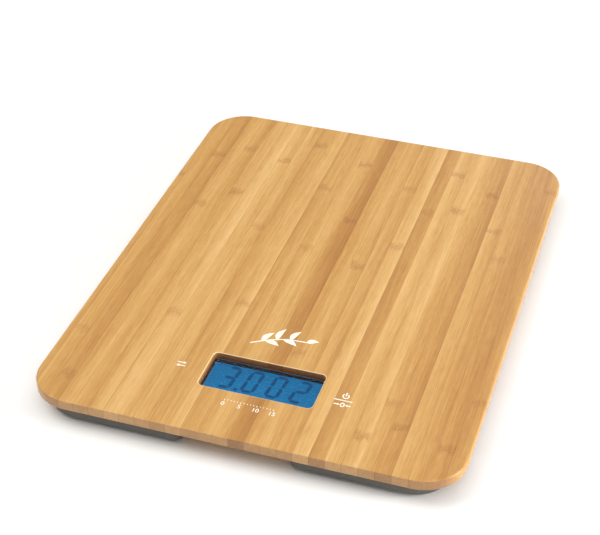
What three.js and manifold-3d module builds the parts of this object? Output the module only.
// Electronic kitchen scale: a thin bamboo platform on four corner load cells, with a display
// set in a window near the front edge and an electronics tray under it.
// Millimetres, +Z up. The origin is on the table, under the middle of the platform.
// The front edge, with the display, faces -Y, and +X is to the right.

import * as THREE from 'three';
import { mergeVertices } from 'three/addons/utils/BufferGeometryUtils.js';
import Module from 'manifold-3d';

// Platform
const PLATFORM_WIDTH = 200;
const PLATFORM_DEPTH = 258;
const PLATFORM_THICKNESS = 5.1;
const PLATFORM_CORNER_RADIUS = 20.3;
const EDGE_SOFTENING = 0.6;
const UNDERSIDE_Z = 9;

// Display window and the display under it
const WINDOW_WIDTH = 54.1;
const WINDOW_DEPTH = 23.4;
const WINDOW_CORNER_RADIUS = 2.2;
const WINDOW_Y = -87.9;
const WINDOW_RIM = 1.2;
const LENS_TOP_Z = 10.9;
const LENS_THICKNESS = 2.1;
const GLASS_WIDTH = 56.6;
const GLASS_DEPTH = 25;
const GLASS_THICKNESS = 1.2;
const GLASS_BOTTOM_Z = 7;
const FRAME_WALL = 1;
const FRAME_GAP = 0.2;

// Corner foot housings, each drawn from its own outer corner along +X and +Y
const HOUSING_BOTTOM_Z = 2;
const HOUSING_INSET_X = 6.35;
const HOUSING_INSET_Y = 3.05;
const HOUSING_ARM = 68.6;
const HOUSING_ARM_END = 10;
const HOUSING_SHOULDER = [43, 22];
const HOUSING_CORNER_RADIUS = 17.2;
const HOUSING_SMALL_RADIUS = 4;
const HOUSING_WALL = 1.6;
const HOUSING_FLOOR = 1.4;
const HOUSING_SCREWS = [[58, 7.4], [7.4, 58]];
const FOOT_CENTRE = 19;

// Foot, with the load cell that it presses
const PAD_RADIUS = 9.3;
const PAD_THICKNESS = 1.8;
const FOOT_HOLE_RADIUS = 9.9;
const FLANGE_RADIUS = 11.4;
const FLANGE_BOTTOM_Z = 3.6;
const FLANGE_TOP_Z = 4.6;
const PEG_TOP_Z = 5.2;
const PEG_RADIUS = 0.9;
const PEG_COUNT = 4;
const CELL_PLATE_BOTTOM_Z = 5.8;
const CELL_PLATE_THICKNESS = 1.4;
const CELL_PLATE_SIDE = 24;
const CELL_SPACER_RADIUS = 3;

// Electronics tray
const TRAY_WIDTH = 94;
const TRAY_FRONT_Y = -104;
const TRAY_REAR_Y = -44;
const TRAY_BOTTOM_Z = 2;
const TRAY_WALL = 1.5;
const TRAY_FLOOR = 1.4;
const TRAY_CORNER_RADIUS = 4;
const TRAY_SCREWS = [[-41.4, -99], [41.4, -99], [-41.4, -49], [41.4, -49]];

// Battery bay in the tray, with its sliding cover
const BAY_HALF_WIDTH = 22.6;
const BAY_FRONT_Y = -69.4;
const BAY_REAR_Y = -47.2;
const BAY_WALL = 3.4;
const BAY_TOP_Z = 7.4;
const COVER_HALF_WIDTH = 21.9;
const COVER_TONGUE = 2;
const COVER_FRONT_Y = -70.9;
const COVER_THICKNESS = 1.4;
const COVER_RIB = 1.5;
const GRIP_COUNT = 5;
const GRIP_PITCH = 2.2;
const TONGUE_BOTTOM_Z = 3.1;
const TONGUE_TOP_Z = 3.8;
const COIN_RADIUS = 10;
const COIN_THICKNESS = 3.2;
const COIN_X = 11.3;
const COIN_Y = -58.3;
const COIN_BOTTOM_Z = 4.1;
const CONTACT_THICKNESS = 0.3;
const CONTACT_WIDTH = 5;
const LEAD_RADIUS = 0.6;

// Circuit board
const BOARD_HALF_WIDTH = 44;
const BOARD_REAR_Y = -74.4;
const BOARD_FRONT_Y = -101.6;
const BOARD_SHOULDER_X = 34;
const BOARD_SHOULDER_Y = -95;
const BOARD_BOTTOM_Z = 4.8;
const BOARD_THICKNESS = 1;
const BOARD_CORNER_RADIUS = 1;
const BOARD_HOLE_RADIUS = 1.3;
const BOARD_SCREW_X = 41;
const BOARD_SCREW_Y = -79;
const POST_RADIUS = 2.2;
const POST_HOLE_RADIUS = 1.2;

// Parts on the circuit board
const KEY_X = 38.5;
const KEY_Y = -89;
const SPRING_WIRE_RADIUS = 0.3;
const SPRING_COIL_RADIUS = 4.2;
const SPRING_TURNS = 3.5;
const CHIP_X = 12;
const CHIP_RADIUS = 5;
const CHIP_HEIGHT = 0.9;
const CRYSTAL_PLACE = [34.6, -77];
const CRYSTAL_RADIUS = 1.2;
const CRYSTAL_LENGTH = 6;
const CAPACITOR_PLACE = [-36.4, -76.7];
const CAPACITOR_RADIUS = 1.8;
const CAPACITOR_HEIGHT = 2.6;

// Backlight and connector under the display
const GUIDE_WIDTH = 52.8;
const GUIDE_DEPTH = 22.2;
const GUIDE_Y = WINDOW_Y - 0.9;
const FILM_THICKNESS = 0.15;
const LED_SIZE = [1.2, 3.4, 0.9];
const LED_X = 27.4;
const CONNECTOR_HALF_WIDTH = 26;
const CONNECTOR_FROM_MIDDLE = [10.7, 12.2];

// Cables in the grooves under the platform
const CABLE_RADIUS = 0.7;
const CABLE_LOW_Z = 8.15;
const GROOVE_WIDTH = 3.4;
const GROOVE_DEPTH = 2.4;
const FRONT_GROOVE = [[-68.5, -98.6], [-37.5, -82.6]];
const REAR_GROOVE = [[-60, 104], [-60, -30], [-41.5, -58]];

// Screws
const SCREW_SHANK_RADIUS = 1.3;
const SCREW_HEAD_RADIUS = 2.6;
const SCREW_HEAD_HEIGHT = 1.6;
const SCREW_HEAD_BOTTOM_Z = 2.3;
const SCREW_TIP_Z = 12.1;
const SCREW_HOLE_RADIUS = 1.6;
const SCREW_RIM = 0.3;
const RECESS_LENGTH = 3;
const RECESS_WIDTH = 0.7;
const RECESS_DEPTH = 0.9;
const BOSS_RADIUS = 3.3;

// How far the chord of an arc may lie from its circle
const ARC_ERROR = 0.06;

// Gap between pieces that rest on each other, and clearance round a piece in its hole
const SEAT_GAP = 0.1;
const CLEARANCE = 0.3;

const PLATFORM_TOP_Z = UNDERSIDE_Z + PLATFORM_THICKNESS;
const RIM_TOP_Z = UNDERSIDE_Z - SEAT_GAP;
const TRAY_FLOOR_Z = TRAY_BOTTOM_Z + TRAY_FLOOR;
const BOARD_TOP_Z = BOARD_BOTTOM_Z + BOARD_THICKNESS;
const ON_BOARD_Z = BOARD_TOP_Z + SEAT_GAP / 2;
const GLASS_TOP_Z = GLASS_BOTTOM_Z + GLASS_THICKNESS;
const UNDER_GLASS_Z = GLASS_BOTTOM_Z - SEAT_GAP;
const TRAY_MIDDLE_Y = (TRAY_FRONT_Y + TRAY_REAR_Y) / 2;
const CONTACT_END = BAY_HALF_WIDTH + BAY_WALL + 3;

const wasm = await Module();
wasm.setup();

const scale = new THREE.Group();

// ---------------------------------------------------------------- materials

const finish = (color, roughness, metalness = 0) => ({ color, roughness, metalness });
const BAMBOO = finish(0xdaa768, 0.45);
const DARK_PLASTIC = finish(0x43413f, 0.55);
const RUBBER = finish(0x2c2c2d, 0.85);
const STEEL = finish(0xb4b6b8, 0.35, 1);
const NICKEL = finish(0xc9c8c2, 0.25, 1);
const ZINC = finish(0x9a9da1, 0.5, 1);
const GREEN_BOARD = finish(0x1f6b3a, 0.5);
const BLACK_EPOXY = finish(0x151515, 0.3);
const WHITE_PLASTIC = finish(0xe9e8e2, 0.5);
const CLEAR_PLASTIC = finish(0xcfe3ee, 0.08);
const BLUE_GLASS = finish(0x2a77a7, 0.1);
const BLACK_FOAM = finish(0x1d2224, 0.9);
const CABLE_GREY = finish(0x8c8f92, 0.6);
const RED_WIRE = finish(0xb3261e, 0.5);
const BLACK_WIRE = finish(0x1b1b1b, 0.5);

// ---------------------------------------------------------------- shared shapes

function addPiece(parent, name, geometry, look) {
  const mesh = new THREE.Mesh(geometry, new THREE.MeshStandardMaterial(look));
  mesh.name = name;
  parent.add(mesh);
  return mesh;
}

// A closed outline from corners [x, y, radius], counter-clockwise, with an arc at each corner.
// The arcs have as many points as keep their chords within ARC_ERROR of the circle.
function roundedOutline(corners) {
  const points = corners.flatMap(([x, y, radius], index) => {
    const corner = new THREE.Vector2(x, y);
    const [beforeX, beforeY] = corners.at(index - 1);
    const [afterX, afterY] = corners[(index + 1) % corners.length];
    const toBefore = new THREE.Vector2(beforeX, beforeY).sub(corner).normalize();
    const toAfter = new THREE.Vector2(afterX, afterY).sub(corner).normalize();
    const half = Math.acos(toBefore.dot(toAfter)) / 2;
    const middle = toBefore.clone().add(toAfter).normalize();
    const centre = corner.clone().addScaledVector(middle, radius / Math.sin(half));
    const spoke = corner.clone().addScaledVector(toBefore, radius / Math.tan(half)).sub(centre);
    const bend = Math.PI - 2 * half;
    const turn = toBefore.cross(toAfter) > 0 ? -bend : bend;
    const steps = Math.ceil(bend / (2 * Math.acos(1 - ARC_ERROR / radius)));
    return Array.from({ length: steps + 1 }, (_, step) => (
      spoke.clone().rotateAround(new THREE.Vector2(), turn * step / steps).add(centre)
    ));
  });
  return new THREE.Shape(points);
}

// The same corners moved inward by a wall's thickness.
function insetCorners(corners, wall) {
  return corners.map(([x, y, radius], index) => {
    const [beforeX, beforeY] = corners.at(index - 1);
    const [afterX, afterY] = corners[(index + 1) % corners.length];
    const normalIn = new THREE.Vector2(beforeY - y, x - beforeX).normalize();
    const normalOut = new THREE.Vector2(y - afterY, afterX - x).normalize();
    const reach = wall / (1 + normalIn.dot(normalOut));
    const shift = normalIn.add(normalOut).multiplyScalar(reach);
    return [x + shift.x, y + shift.y, Math.max(radius - wall, 0.5)];
  });
}

function rectangleCorners(width, depth, radius, centreY = 0) {
  const x = width / 2;
  const front = centreY - depth / 2;
  const rear = centreY + depth / 2;
  return [[-x, front, radius], [x, front, radius], [x, rear, radius], [-x, rear, radius]];
}

function slab(outline, bottom, top, softening = 0) {
  const geometry = new THREE.ExtrudeGeometry(outline, {
    depth: top - bottom - 2 * softening,
    bevelEnabled: softening > 0,
    bevelThickness: softening,
    bevelSize: softening,
    bevelOffset: -softening,
    bevelSegments: 1,
  });
  return geometry.translate(0, 0, bottom + softening);
}

function box(x, y, z) {
  const geometry = new THREE.BoxGeometry(x[1] - x[0], y[1] - y[0], z[1] - z[0]);
  return geometry.translate((x[0] + x[1]) / 2, (y[0] + y[1]) / 2, (z[0] + z[1]) / 2);
}

function rod(x, y, radius, bottom, top, sides = 12) {
  const geometry = new THREE.CylinderGeometry(radius, radius, top - bottom, sides);
  return geometry.rotateX(Math.PI / 2).translate(x, y, (bottom + top) / 2);
}

// A turned piece from [radius, height] points that start and end on the axis.
function turned(profile, sides = 16) {
  const points = profile.map(([radius, height]) => new THREE.Vector2(radius, height));
  return new THREE.LatheGeometry(points, sides).rotateX(Math.PI / 2);
}

function tube(points, radius, steps, sides = 6) {
  const section = new THREE.Shape().absarc(0, 0, radius, 0, 2 * Math.PI);
  const path = new THREE.CatmullRomCurve3(points.map((point) => new THREE.Vector3(...point)));
  const options = { steps, curveSegments: sides / 2, bevelEnabled: false, extrudePath: path };
  return new THREE.ExtrudeGeometry(section, options);
}

// ---------------------------------------------------------------- joins and cuts

function toSolid(geometry) {
  const bare = geometry.clone();
  bare.deleteAttribute('normal');
  bare.deleteAttribute('uv');
  const merged = mergeVertices(bare, 1e-4);
  const mesh = new wasm.Mesh({
    numProp: 3,
    vertProperties: new Float32Array(merged.attributes.position.array),
    triVerts: new Uint32Array(merged.index.array),
  });
  return new wasm.Manifold(mesh);
}

function toGeometry(solid) {
  const mesh = solid.getMesh();
  const geometry = new THREE.BufferGeometry();
  geometry.setAttribute('position', new THREE.BufferAttribute(mesh.vertProperties, 3));
  geometry.setIndex(new THREE.BufferAttribute(mesh.triVerts, 1));
  geometry.computeVertexNormals();
  return geometry;
}

function carve(base, added, removed) {
  let solid = toSolid(base);
  added.forEach((geometry) => { solid = solid.add(toSolid(geometry)); });
  removed.forEach((geometry) => { solid = solid.subtract(toSolid(geometry)); });
  return toGeometry(solid);
}

// ---------------------------------------------------------------- screws

function countersunkScrew() {
  const shaftEnd = SCREW_TIP_Z - SCREW_HEAD_BOTTOM_Z;
  const head = turned([
    [0, 0],
    [SCREW_HEAD_RADIUS, 0],
    [SCREW_HEAD_RADIUS, SCREW_RIM],
    [SCREW_SHANK_RADIUS, SCREW_HEAD_HEIGHT],
    [SCREW_SHANK_RADIUS, shaftEnd - 1],
    [0, shaftEnd],
  ]);
  const long = [-RECESS_LENGTH / 2, RECESS_LENGTH / 2];
  const narrow = [-RECESS_WIDTH / 2, RECESS_WIDTH / 2];
  const depth = [-1, RECESS_DEPTH];
  return carve(head, [], [box(long, narrow, depth), box(narrow, long, depth)]);
}

function addUndersideScrew(parent, name, x, y) {
  const screw = addPiece(parent, name, countersunkScrew(), STEEL);
  screw.position.set(x, y, SCREW_HEAD_BOTTOM_Z);
}

// The hole for such a screw in the plastic round it, with the cone for its head.
function screwHole(x, y, bottom) {
  const mouth = SCREW_HEAD_RADIUS + CLEARANCE;
  const cone = SCREW_HEAD_BOTTOM_Z - bottom + SCREW_RIM;
  const hole = turned([
    [0, -1],
    [mouth, -1],
    [mouth, cone],
    [SCREW_HOLE_RADIUS, cone + SCREW_HEAD_HEIGHT - SCREW_RIM],
    [SCREW_HOLE_RADIUS, UNDERSIDE_Z],
    [0, UNDERSIDE_Z],
  ], 12);
  return hole.translate(x, y, bottom);
}

// ---------------------------------------------------------------- platform

// A groove along straight runs, with round ends and bends.
function groove(points) {
  const bottom = UNDERSIDE_Z - 1;
  const top = UNDERSIDE_Z + GROOVE_DEPTH;
  const ends = points.map(([x, y]) => rod(x, y, GROOVE_WIDTH / 2, bottom, top, 12));
  const runs = points.slice(1).map(([x, y], index) => {
    const [fromX, fromY] = points[index];
    const length = Math.hypot(x - fromX, y - fromY);
    const run = new THREE.BoxGeometry(length, GROOVE_WIDTH, top - bottom);
    run.rotateZ(Math.atan2(y - fromY, x - fromX));
    return run.translate((x + fromX) / 2, (y + fromY) / 2, (bottom + top) / 2);
  });
  return [...ends, ...runs];
}

const mirrored = (points) => points.map(([x, ...rest]) => [-x, ...rest]);

function feetPlaces() {
  const x = PLATFORM_WIDTH / 2 - HOUSING_INSET_X;
  const y = PLATFORM_DEPTH / 2 - HOUSING_INSET_Y;
  return [
    { side: 'front_left', x: -x, y: -y, turns: 0 },
    { side: 'front_right', x, y: -y, turns: 1 },
    { side: 'rear_right', x, y, turns: 2 },
    { side: 'rear_left', x: -x, y, turns: 3 },
  ];
}

function housingScrewPlaces() {
  const origin = new THREE.Vector2();
  return feetPlaces().flatMap(({ x, y, turns }) => HOUSING_SCREWS.map((local) => {
    const place = new THREE.Vector2(...local).rotateAround(origin, turns * Math.PI / 2);
    return [x + place.x, y + place.y];
  }));
}

function addPlatform() {
  const edge = rectangleCorners(PLATFORM_WIDTH, PLATFORM_DEPTH, PLATFORM_CORNER_RADIUS);
  const window = rectangleCorners(WINDOW_WIDTH, WINDOW_DEPTH, WINDOW_CORNER_RADIUS, WINDOW_Y);
  const outline = roundedOutline(edge);
  outline.holes.push(roundedOutline(window));
  const board = slab(outline, UNDERSIDE_Z, PLATFORM_TOP_Z, EDGE_SOFTENING);
  const pilotTop = SCREW_TIP_Z + CLEARANCE;
  const pilots = [...housingScrewPlaces(), ...TRAY_SCREWS]
    .map(([x, y]) => rod(x, y, SCREW_HOLE_RADIUS, UNDERSIDE_Z - 1, pilotTop, 8));
  const runs = [FRONT_GROOVE, REAR_GROOVE, mirrored(FRONT_GROOVE), mirrored(REAR_GROOVE)];
  const grooves = runs.flatMap(groove);
  addPiece(scale, 'bamboo_platform', carve(board, [], [...pilots, ...grooves]), BAMBOO);
}

// ---------------------------------------------------------------- feet

function housingCorners() {
  const [shoulderFar, shoulderNear] = HOUSING_SHOULDER;
  const small = HOUSING_SMALL_RADIUS;
  return [
    [0, 0, HOUSING_CORNER_RADIUS],
    [HOUSING_ARM, 0, small],
    [HOUSING_ARM, HOUSING_ARM_END, small / 2],
    [shoulderFar, shoulderNear, 2 * small],
    [shoulderNear, shoulderFar, 2 * small],
    [HOUSING_ARM_END, HOUSING_ARM, small / 2],
    [0, HOUSING_ARM, small],
  ];
}

function footHousing() {
  const corners = housingCorners();
  const softening = 0.5;
  // the softened top edge is cut off flat, so that the rim meets the platform squarely
  const shell = slab(roundedOutline(corners), HOUSING_BOTTOM_Z, RIM_TOP_Z + 1, softening);
  const aboveRim = box([-1, HOUSING_ARM + 1], [-1, HOUSING_ARM + 1], [RIM_TOP_Z, RIM_TOP_Z + 2]);
  const floorTop = HOUSING_BOTTOM_Z + HOUSING_FLOOR;
  const inner = roundedOutline(insetCorners(corners, HOUSING_WALL));
  const inside = slab(inner, floorTop, RIM_TOP_Z + 1);
  const footHole = rod(FOOT_CENTRE, FOOT_CENTRE, FOOT_HOLE_RADIUS, 0, floorTop + 1, 24);
  const hollow = carve(shell, [], [inside, footHole, aboveRim]);
  const bosses = HOUSING_SCREWS.map(([x, y]) => rod(x, y, BOSS_RADIUS, floorTop - 0.5, RIM_TOP_Z));
  const holes = HOUSING_SCREWS.map(([x, y]) => screwHole(x, y, HOUSING_BOTTOM_Z));
  return carve(hollow, bosses, holes);
}

// A steel plate whose U-shaped slot leaves a tongue. A spacer on the tongue bears on the
// platform, and the foot pushes the outer frame up.
function loadCell() {
  const half = CELL_PLATE_SIDE / 2;
  const slotOuter = half - 3;
  const slotInner = half - 5.5;
  const slotEnd = half - 4.5;
  const plate = roundedOutline(rectangleCorners(CELL_PLATE_SIDE, CELL_PLATE_SIDE, 1.5));
  const slot = new THREE.Path().setFromPoints([
    [-slotOuter, slotEnd], [-slotOuter, -slotOuter], [slotOuter, -slotOuter], [slotOuter, slotEnd],
    [slotInner, slotEnd], [slotInner, -slotInner], [-slotInner, -slotInner], [-slotInner, slotEnd],
  ].map(([x, y]) => new THREE.Vector2(x, y)));
  plate.holes.push(slot);
  const plateTop = CELL_PLATE_BOTTOM_Z + CELL_PLATE_THICKNESS;
  const sheet = slab(plate, CELL_PLATE_BOTTOM_Z, plateTop);
  const spacer = rod(0, -CELL_SPACER_RADIUS, CELL_SPACER_RADIUS, plateTop - 0.5, RIM_TOP_Z);
  return carve(sheet, [spacer], []);
}

function footPlunger() {
  const bottom = PAD_THICKNESS + SEAT_GAP;
  const body = turned([
    [0, bottom],
    [PAD_RADIUS, bottom],
    [PAD_RADIUS, FLANGE_BOTTOM_Z],
    [FLANGE_RADIUS, FLANGE_BOTTOM_Z],
    [FLANGE_RADIUS, FLANGE_TOP_Z],
    [0, FLANGE_TOP_Z],
  ], 24);
  const pegCircle = FLANGE_RADIUS - PEG_RADIUS - 0.2;
  const pegs = Array.from({ length: PEG_COUNT }, (_, index) => {
    const angle = index * 2 * Math.PI / PEG_COUNT;
    const x = pegCircle * Math.cos(angle);
    const y = pegCircle * Math.sin(angle);
    return rod(x, y, PEG_RADIUS, FLANGE_TOP_Z - 0.3, PEG_TOP_Z, 8);
  });
  return carve(body, pegs, []);
}

function footPad() {
  const softening = 0.5;
  return turned([
    [0, 0],
    [PAD_RADIUS - softening, 0],
    [PAD_RADIUS, softening],
    [PAD_RADIUS, PAD_THICKNESS],
    [0, PAD_THICKNESS],
  ], 24);
}

function addFoot({ side, x, y, turns }) {
  const corner = new THREE.Group();
  corner.position.set(x, y, 0);
  corner.rotation.z = turns * Math.PI / 2;
  scale.add(corner);
  addPiece(corner, `foot_housing_${side}`, footHousing(), DARK_PLASTIC);
  const foot = new THREE.Group();
  foot.position.set(FOOT_CENTRE, FOOT_CENTRE, 0);
  corner.add(foot);
  addPiece(foot, `load_cell_${side}`, loadCell(), STEEL);
  addPiece(foot, `foot_plunger_${side}`, footPlunger(), ZINC);
  addPiece(foot, `foot_pad_${side}`, footPad(), RUBBER);
  HOUSING_SCREWS.forEach(([screwX, screwY], index) => {
    addUndersideScrew(corner, `housing_screw_${side}_${index + 1}`, screwX, screwY);
  });
}

// ---------------------------------------------------------------- load cell cables

// From the load cell up into the groove, along it, and down into the tray. The cable climbs and
// drops inside the groove's ends, and keeps to its middle round a bend.
function cableRoute(run, landing) {
  const inGroove = UNDERSIDE_Z + GROOVE_DEPTH / 2;
  const climb = 7;
  const levelling = 4;
  const bendReach = 2.5;
  const along = ([fromX, fromY], [toX, toY], distance) => {
    const share = distance / Math.hypot(toX - fromX, toY - fromY);
    return [fromX + (toX - fromX) * share, fromY + (toY - fromY) * share];
  };
  const ends = run.length - 1;
  const stretches = run.slice(0, -1).flatMap((point, index) => {
    const next = run[index + 1];
    const start = along(point, next, index === 0 ? climb : bendReach);
    const stop = along(next, point, index === ends - 1 ? climb : bendReach);
    const straight = [along(start, stop, levelling), along(stop, start, levelling)];
    return [start, ...straight, stop].map(([x, y]) => [x, y, inGroove]);
  });
  return [
    [...along(run[0], run[1], -5), CABLE_LOW_Z],
    [...along(run[0], run[1], 0.5), CABLE_LOW_Z],
    ...stretches,
    [...along(run[ends], run[ends - 1], 0.5), CABLE_LOW_Z],
    landing,
  ];
}

function addCables() {
  const frontRoute = cableRoute(FRONT_GROOVE, [-33.5, -80.6, 7.2]);
  const rearRoute = cableRoute(REAR_GROOVE, [-38, -72, 7.4]);
  const cables = { front_left: [frontRoute, 16], rear_left: [rearRoute, 40] };
  Object.entries(cables).forEach(([side, [route, steps]]) => {
    const otherSide = side.replace('left', 'right');
    const otherCable = tube(mirrored(route), CABLE_RADIUS, steps);
    addPiece(scale, `load_cell_cable_${side}`, tube(route, CABLE_RADIUS, steps), CABLE_GREY);
    addPiece(scale, `load_cell_cable_${otherSide}`, otherCable, CABLE_GREY);
  });
}

// ---------------------------------------------------------------- electronics tray

function trayShell() {
  const depth = TRAY_REAR_Y - TRAY_FRONT_Y;
  const corners = rectangleCorners(TRAY_WIDTH, depth, TRAY_CORNER_RADIUS, TRAY_MIDDLE_Y);
  const inner = roundedOutline(insetCorners(corners, TRAY_WALL));
  const shell = slab(roundedOutline(corners), TRAY_BOTTOM_Z, RIM_TOP_Z + 1, EDGE_SOFTENING);
  const inside = slab(inner, TRAY_FLOOR_Z, RIM_TOP_Z + 1);
  const half = TRAY_WIDTH / 2 + 1;
  const around = [TRAY_FRONT_Y - 1, TRAY_REAR_Y + 1];
  const aboveRim = box([-half, half], around, [RIM_TOP_Z, RIM_TOP_Z + 2]);
  return carve(shell, [], [inside, aboveRim]);
}

function electronicsTray() {
  const bayOuter = BAY_HALF_WIDTH + BAY_WALL;
  const bayY = [BAY_FRONT_Y - BAY_WALL, TRAY_REAR_Y - 0.5];
  const bayBlock = box([-bayOuter, bayOuter], bayY, [TRAY_BOTTOM_Z + 0.7, BAY_TOP_Z]);
  const postBottom = TRAY_FLOOR_Z - 0.5;
  const postTop = BOARD_BOTTOM_Z - SEAT_GAP;
  const bosses = TRAY_SCREWS.map(([x, y]) => rod(x, y, BOSS_RADIUS, postBottom, RIM_TOP_Z));
  const posts = [-1, 1].map((sign) => (
    rod(sign * BOARD_SCREW_X, BOARD_SCREW_Y, POST_RADIUS, postBottom, postTop)
  ));
  const withBay = carve(trayShell(), [bayBlock], batteryBayCuts());
  return carve(withBay, [...bosses, ...posts], trayHoles());
}

function batteryBayCuts() {
  const bayX = [-BAY_HALF_WIDTH, BAY_HALF_WIDTH];
  const slotY = [COVER_FRONT_Y - CLEARANCE, TRAY_REAR_Y + 2];
  const openHalf = COVER_HALF_WIDTH + CLEARANCE;
  const tongueHalf = openHalf + COVER_TONGUE;
  const tongueSlot = [TONGUE_BOTTOM_Z - 0.2, TONGUE_TOP_Z + 0.2];
  return [
    box(bayX, [BAY_FRONT_Y, BAY_REAR_Y], [TRAY_BOTTOM_Z, BAY_TOP_Z + 1]),
    box([-openHalf, openHalf], slotY, [TRAY_BOTTOM_Z - 1, tongueSlot[1]]),
    box([-tongueHalf, tongueHalf], slotY, tongueSlot),
  ];
}

function trayHoles() {
  const holeZ = [TRAY_BOTTOM_Z + 0.9, BOARD_BOTTOM_Z + 1];
  const boardScrewHoles = [-1, 1].map((sign) => (
    rod(sign * BOARD_SCREW_X, BOARD_SCREW_Y, POST_HOLE_RADIUS, ...holeZ)
  ));
  return [...TRAY_SCREWS.map(([x, y]) => screwHole(x, y, TRAY_BOTTOM_Z)), ...boardScrewHoles];
}

function batteryCover() {
  const panelHalf = COVER_HALF_WIDTH;
  const panelX = [-panelHalf, panelHalf];
  const tongueHalf = panelHalf + COVER_TONGUE - 0.1;
  const tongueRear = TRAY_REAR_Y - 2;
  const hollowX = [COVER_RIB - panelHalf, panelHalf - COVER_RIB];
  const hollowZ = [TRAY_BOTTOM_Z + COVER_THICKNESS, TONGUE_TOP_Z + 1];
  const tongueZ = [TONGUE_BOTTOM_Z, TONGUE_TOP_Z];
  const panel = box(panelX, [COVER_FRONT_Y, TRAY_REAR_Y], [TRAY_BOTTOM_Z, TONGUE_TOP_Z]);
  const tongue = box([-tongueHalf, tongueHalf], [COVER_FRONT_Y, tongueRear], tongueZ);
  const hollow = box(hollowX, [COVER_FRONT_Y + COVER_RIB, tongueRear], hollowZ);
  const grips = Array.from({ length: GRIP_COUNT }, (_, index) => {
    const y = TRAY_REAR_Y - 4 - index * GRIP_PITCH;
    const half = 8 - index * 1.2;
    return box([-half, half], [y - 0.5, y + 0.5], [TRAY_BOTTOM_Z - 1, TRAY_BOTTOM_Z + 0.5]);
  });
  return carve(panel, [tongue], [hollow, ...grips]);
}

function addTray() {
  addPiece(scale, 'electronics_tray', electronicsTray(), DARK_PLASTIC);
  addPiece(scale, 'battery_cover', batteryCover(), DARK_PLASTIC);
  TRAY_SCREWS.forEach(([x, y], index) => {
    addUndersideScrew(scale, `tray_screw_${index + 1}`, x, y);
  });
}

// ---------------------------------------------------------------- batteries

function coinCell() {
  const lidRadius = COIN_RADIUS - 1.3;
  const lidHeight = 0.4;
  return turned([
    [0, 0],
    [COIN_RADIUS - 0.3, 0],
    [COIN_RADIUS, 0.3],
    [COIN_RADIUS, COIN_THICKNESS - lidHeight],
    [lidRadius, COIN_THICKNESS - lidHeight],
    [lidRadius, COIN_THICKNESS],
    [0, COIN_THICKNESS],
  ], 24);
}

// A bent strip: its side view in X and Z, given as [x, z] points, is pushed along Y.
function bentStrip(sideView) {
  const outline = new THREE.Shape(sideView.map(([x, z]) => new THREE.Vector2(x, z)));
  const options = { depth: CONTACT_WIDTH, bevelEnabled: false };
  const geometry = new THREE.ExtrudeGeometry(outline, options);
  return geometry.rotateX(Math.PI / 2).translate(0, COIN_Y + CONTACT_WIDTH / 2, 0);
}

function addCoinCells() {
  [-1, 1].forEach((sign) => {
    const name = sign < 0 ? 'coin_cell_left' : 'coin_cell_right';
    const cell = addPiece(scale, name, coinCell(), NICKEL);
    cell.position.set(sign * COIN_X, COIN_Y, COIN_BOTTOM_Z);
  });
}

// Contacts over the bay: the outer two go on past its walls to the leads, and the middle one
// joins one cell's rim to the other cell's top.
function addContacts() {
  const low = BAY_TOP_Z + SEAT_GAP;
  const high = low + CONTACT_THICKNESS;
  const leafBottom = COIN_BOTTOM_Z + 0.6;
  const overCell = COIN_X - 5;
  // a strip with a leaf that hangs down from it at one end
  const withLeaf = (leaf, end) => {
    const far = leaf + CONTACT_THICKNESS;
    return [[leaf, leafBottom], [far, leafBottom], [far, high], [end, high], [end, low], [leaf, low]];
  };
  const positive = withLeaf(-COIN_X - COIN_RADIUS - 0.9, -CONTACT_END);
  const bridge = withLeaf(COIN_X - COIN_RADIUS - 0.8, -overCell);
  const negative = [[overCell, low], [CONTACT_END, low], [CONTACT_END, high], [overCell, high]];
  addPiece(scale, 'battery_contact_positive', bentStrip(positive), NICKEL);
  addPiece(scale, 'battery_contact_bridge', bentStrip(bridge), NICKEL);
  addPiece(scale, 'battery_contact_negative', bentStrip(negative), NICKEL);
}

function addLeads() {
  const lead = [
    [-CONTACT_END - 0.7, COIN_Y - 1, BAY_TOP_Z + SEAT_GAP],
    [-CONTACT_END - 2, COIN_Y - 4, 7],
    [-CONTACT_END - 2.5, -68, 6.9],
    [-CONTACT_END - 2, -74, 6.9],
    [-CONTACT_END - 1.6, -76.5, ON_BOARD_Z + 0.8],
  ];
  addPiece(scale, 'battery_lead_positive', tube(lead, LEAD_RADIUS, 12), RED_WIRE);
  addPiece(scale, 'battery_lead_negative', tube(mirrored(lead), LEAD_RADIUS, 12), BLACK_WIRE);
}

// ---------------------------------------------------------------- circuit board

function circuitBoard() {
  const x = BOARD_HALF_WIDTH;
  const shoulder = BOARD_SHOULDER_X;
  const outline = roundedOutline([
    [-shoulder, BOARD_FRONT_Y], [shoulder, BOARD_FRONT_Y],
    [shoulder, BOARD_SHOULDER_Y], [x, BOARD_SHOULDER_Y],
    [x, BOARD_REAR_Y], [-x, BOARD_REAR_Y],
    [-x, BOARD_SHOULDER_Y], [-shoulder, BOARD_SHOULDER_Y],
  ].map((corner) => [...corner, BOARD_CORNER_RADIUS]));
  const sheet = slab(outline, BOARD_BOTTOM_Z, BOARD_TOP_Z);
  const holes = [-1, 1].map((sign) => (
    rod(sign * BOARD_SCREW_X, BOARD_SCREW_Y, BOARD_HOLE_RADIUS, BOARD_BOTTOM_Z - 1, BOARD_TOP_Z + 1)
  ));
  return carve(sheet, [], holes);
}

function boardScrew() {
  const shank = 0.9;
  const head = 1.9;
  return turned([
    [0, -BOARD_THICKNESS - 1.4],
    [shank, -BOARD_THICKNESS - 1],
    [shank, 0],
    [head, 0],
    [head, 0.6],
    [1.2, 1.1],
    [0, 1.2],
  ], 10);
}

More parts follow.
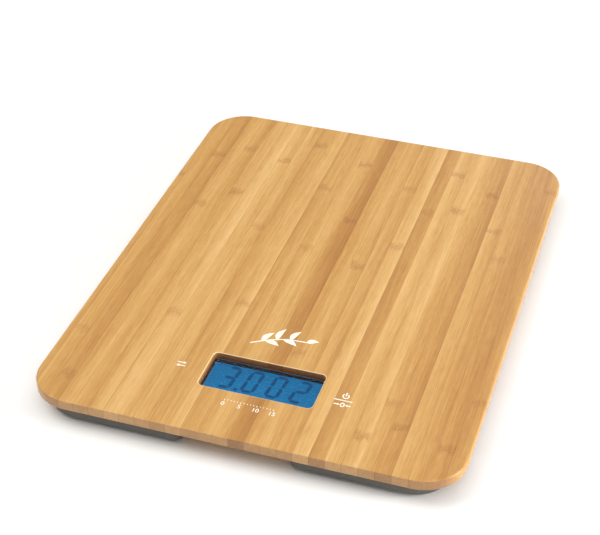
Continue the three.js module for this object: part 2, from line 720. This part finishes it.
// A spring of round wire that carries a printed key's touch signal up to the platform.
function touchSpring() {
  const stepsPerTurn = 12;
  const low = ON_BOARD_Z + SPRING_WIRE_RADIUS;
  const high = RIM_TOP_Z - SPRING_WIRE_RADIUS;
  const count = SPRING_TURNS * stepsPerTurn;
  const points = Array.from({ length: count + 1 }, (_, index) => {
    const angle = (index / stepsPerTurn) * 2 * Math.PI;
    const rise = low + (high - low) * (index / count);
    return [SPRING_COIL_RADIUS * Math.cos(angle), SPRING_COIL_RADIUS * Math.sin(angle), rise];
  });
  return tube(points, SPRING_WIRE_RADIUS, count);
}

function addScrewsAndSprings() {
  [-1, 1].forEach((sign) => {
    const side = sign < 0 ? 'left' : 'right';
    const screw = addPiece(scale, `board_screw_${side}`, boardScrew(), STEEL);
    screw.position.set(sign * BOARD_SCREW_X, BOARD_SCREW_Y, ON_BOARD_Z);
    const key = sign < 0 ? 'set' : 'tare';
    const spring = addPiece(scale, `touch_spring_${key}`, touchSpring(), STEEL);
    spring.position.set(sign * KEY_X, KEY_Y, 0);
  });
}

// The chip is a drop of epoxy under the board.
function addChip() {
  const drop = turned([
    [0, 0],
    [0.4 * CHIP_RADIUS, 0.1 * CHIP_HEIGHT],
    [0.8 * CHIP_RADIUS, 0.5 * CHIP_HEIGHT],
    [CHIP_RADIUS, CHIP_HEIGHT],
    [0, CHIP_HEIGHT],
  ]);
  const chip = addPiece(scale, 'controller_chip', drop, BLACK_EPOXY);
  chip.position.set(CHIP_X, WINDOW_Y, BOARD_BOTTOM_Z - CHIP_HEIGHT - SEAT_GAP / 2);
}

function addCrystalAndCapacitor() {
  const half = CRYSTAL_LENGTH / 2;
  const can = rod(0, 0, CRYSTAL_RADIUS, -half, half).rotateY(Math.PI / 2);
  const crystal = addPiece(scale, 'crystal', can, NICKEL);
  crystal.position.set(...CRYSTAL_PLACE, ON_BOARD_Z + CRYSTAL_RADIUS);
  const drum = rod(0, 0, CAPACITOR_RADIUS, 0, CAPACITOR_HEIGHT, 14);
  const capacitor = addPiece(scale, 'capacitor', drum, BLACK_EPOXY);
  capacitor.position.set(...CAPACITOR_PLACE, ON_BOARD_Z);
}

function addCircuitBoard() {
  addPiece(scale, 'circuit_board', circuitBoard(), GREEN_BOARD);
  addScrewsAndSprings();
  addChip();
  addCrystalAndCapacitor();
}

// ---------------------------------------------------------------- display

// A flat piece and a flat ring, both centred on the window.
function windowPlate(width, depth, bottom, top, radius) {
  return slab(roundedOutline(rectangleCorners(width, depth, radius, WINDOW_Y)), bottom, top);
}

function windowRing(width, depth, wall, bottom, top, radius) {
  const ring = roundedOutline(rectangleCorners(width, depth, radius, WINDOW_Y));
  const innerRadius = Math.max(radius - wall, 0.5);
  const opening = rectangleCorners(width - 2 * wall, depth - 2 * wall, innerRadius, WINDOW_Y);
  ring.holes.push(roundedOutline(opening));
  return slab(ring, bottom, top);
}

function addLensAndGasket() {
  const lensBottom = LENS_TOP_Z - LENS_THICKNESS;
  const lensWidth = WINDOW_WIDTH - 2 * CLEARANCE;
  const lensDepth = WINDOW_DEPTH - 2 * CLEARANCE;
  const lensRadius = WINDOW_CORNER_RADIUS - CLEARANCE;
  const rimWall = WINDOW_RIM + (GLASS_DEPTH - WINDOW_DEPTH) / 2;
  const gasketZ = [GLASS_TOP_Z + SEAT_GAP, lensBottom - SEAT_GAP];
  const lens = windowPlate(lensWidth, lensDepth, lensBottom, LENS_TOP_Z, lensRadius);
  const gasket = windowRing(GLASS_WIDTH, GLASS_DEPTH, rimWall, ...gasketZ, 1);
  addPiece(scale, 'display_lens', lens, CLEAR_PLASTIC);
  addPiece(scale, 'display_gasket', gasket, BLACK_FOAM);
}

function addGlassAndFrame() {
  const frameWidth = GLASS_WIDTH + 2 * (FRAME_WALL + FRAME_GAP);
  const frameDepth = GLASS_DEPTH + 2 * (FRAME_WALL + FRAME_GAP);
  const glass = windowPlate(GLASS_WIDTH, GLASS_DEPTH, GLASS_BOTTOM_Z, GLASS_TOP_Z, 0.5);
  const frame = windowRing(frameWidth, frameDepth, FRAME_WALL, ON_BOARD_Z, GLASS_TOP_Z, 1.5);
  addPiece(scale, 'lcd_glass', glass, BLUE_GLASS);
  addPiece(scale, 'lcd_frame', frame, WHITE_PLASTIC);
}

function addBacklight() {
  const filmTop = ON_BOARD_Z + FILM_THICKNESS;
  const guideBottom = filmTop + SEAT_GAP / 2;
  const outline = roundedOutline(rectangleCorners(GUIDE_WIDTH, GUIDE_DEPTH, 0.5, GUIDE_Y));
  addPiece(scale, 'reflector_film', slab(outline, ON_BOARD_Z, filmTop), WHITE_PLASTIC);
  addPiece(scale, 'light_guide', slab(outline, guideBottom, UNDER_GLASS_Z), CLEAR_PLASTIC);
  [-1, 1].forEach((sign) => {
    const side = sign < 0 ? 'left' : 'right';
    const block = new THREE.BoxGeometry(...LED_SIZE);
    const lamp = addPiece(scale, `backlight_led_${side}`, block, WHITE_PLASTIC);
    lamp.position.set(sign * LED_X, WINDOW_Y, ON_BOARD_Z + LED_SIZE[2] / 2);
  });
}

// The rubber strip that joins the display's glass to the circuit board.
function addConnector() {
  const strip = box(
    [-CONNECTOR_HALF_WIDTH, CONNECTOR_HALF_WIDTH],
    CONNECTOR_FROM_MIDDLE.map((reach) => WINDOW_Y + reach),
    [ON_BOARD_Z, UNDER_GLASS_Z],
  );
  addPiece(scale, 'connector_strip', strip, RUBBER);
}

addPlatform();
feetPlaces().forEach(addFoot);
addCables();
addTray();
addCoinCells();
addContacts();
addLeads();
addCircuitBoard();
addLensAndGasket();
addGlassAndFrame();
addBacklight();
addConnector();

export default scale;
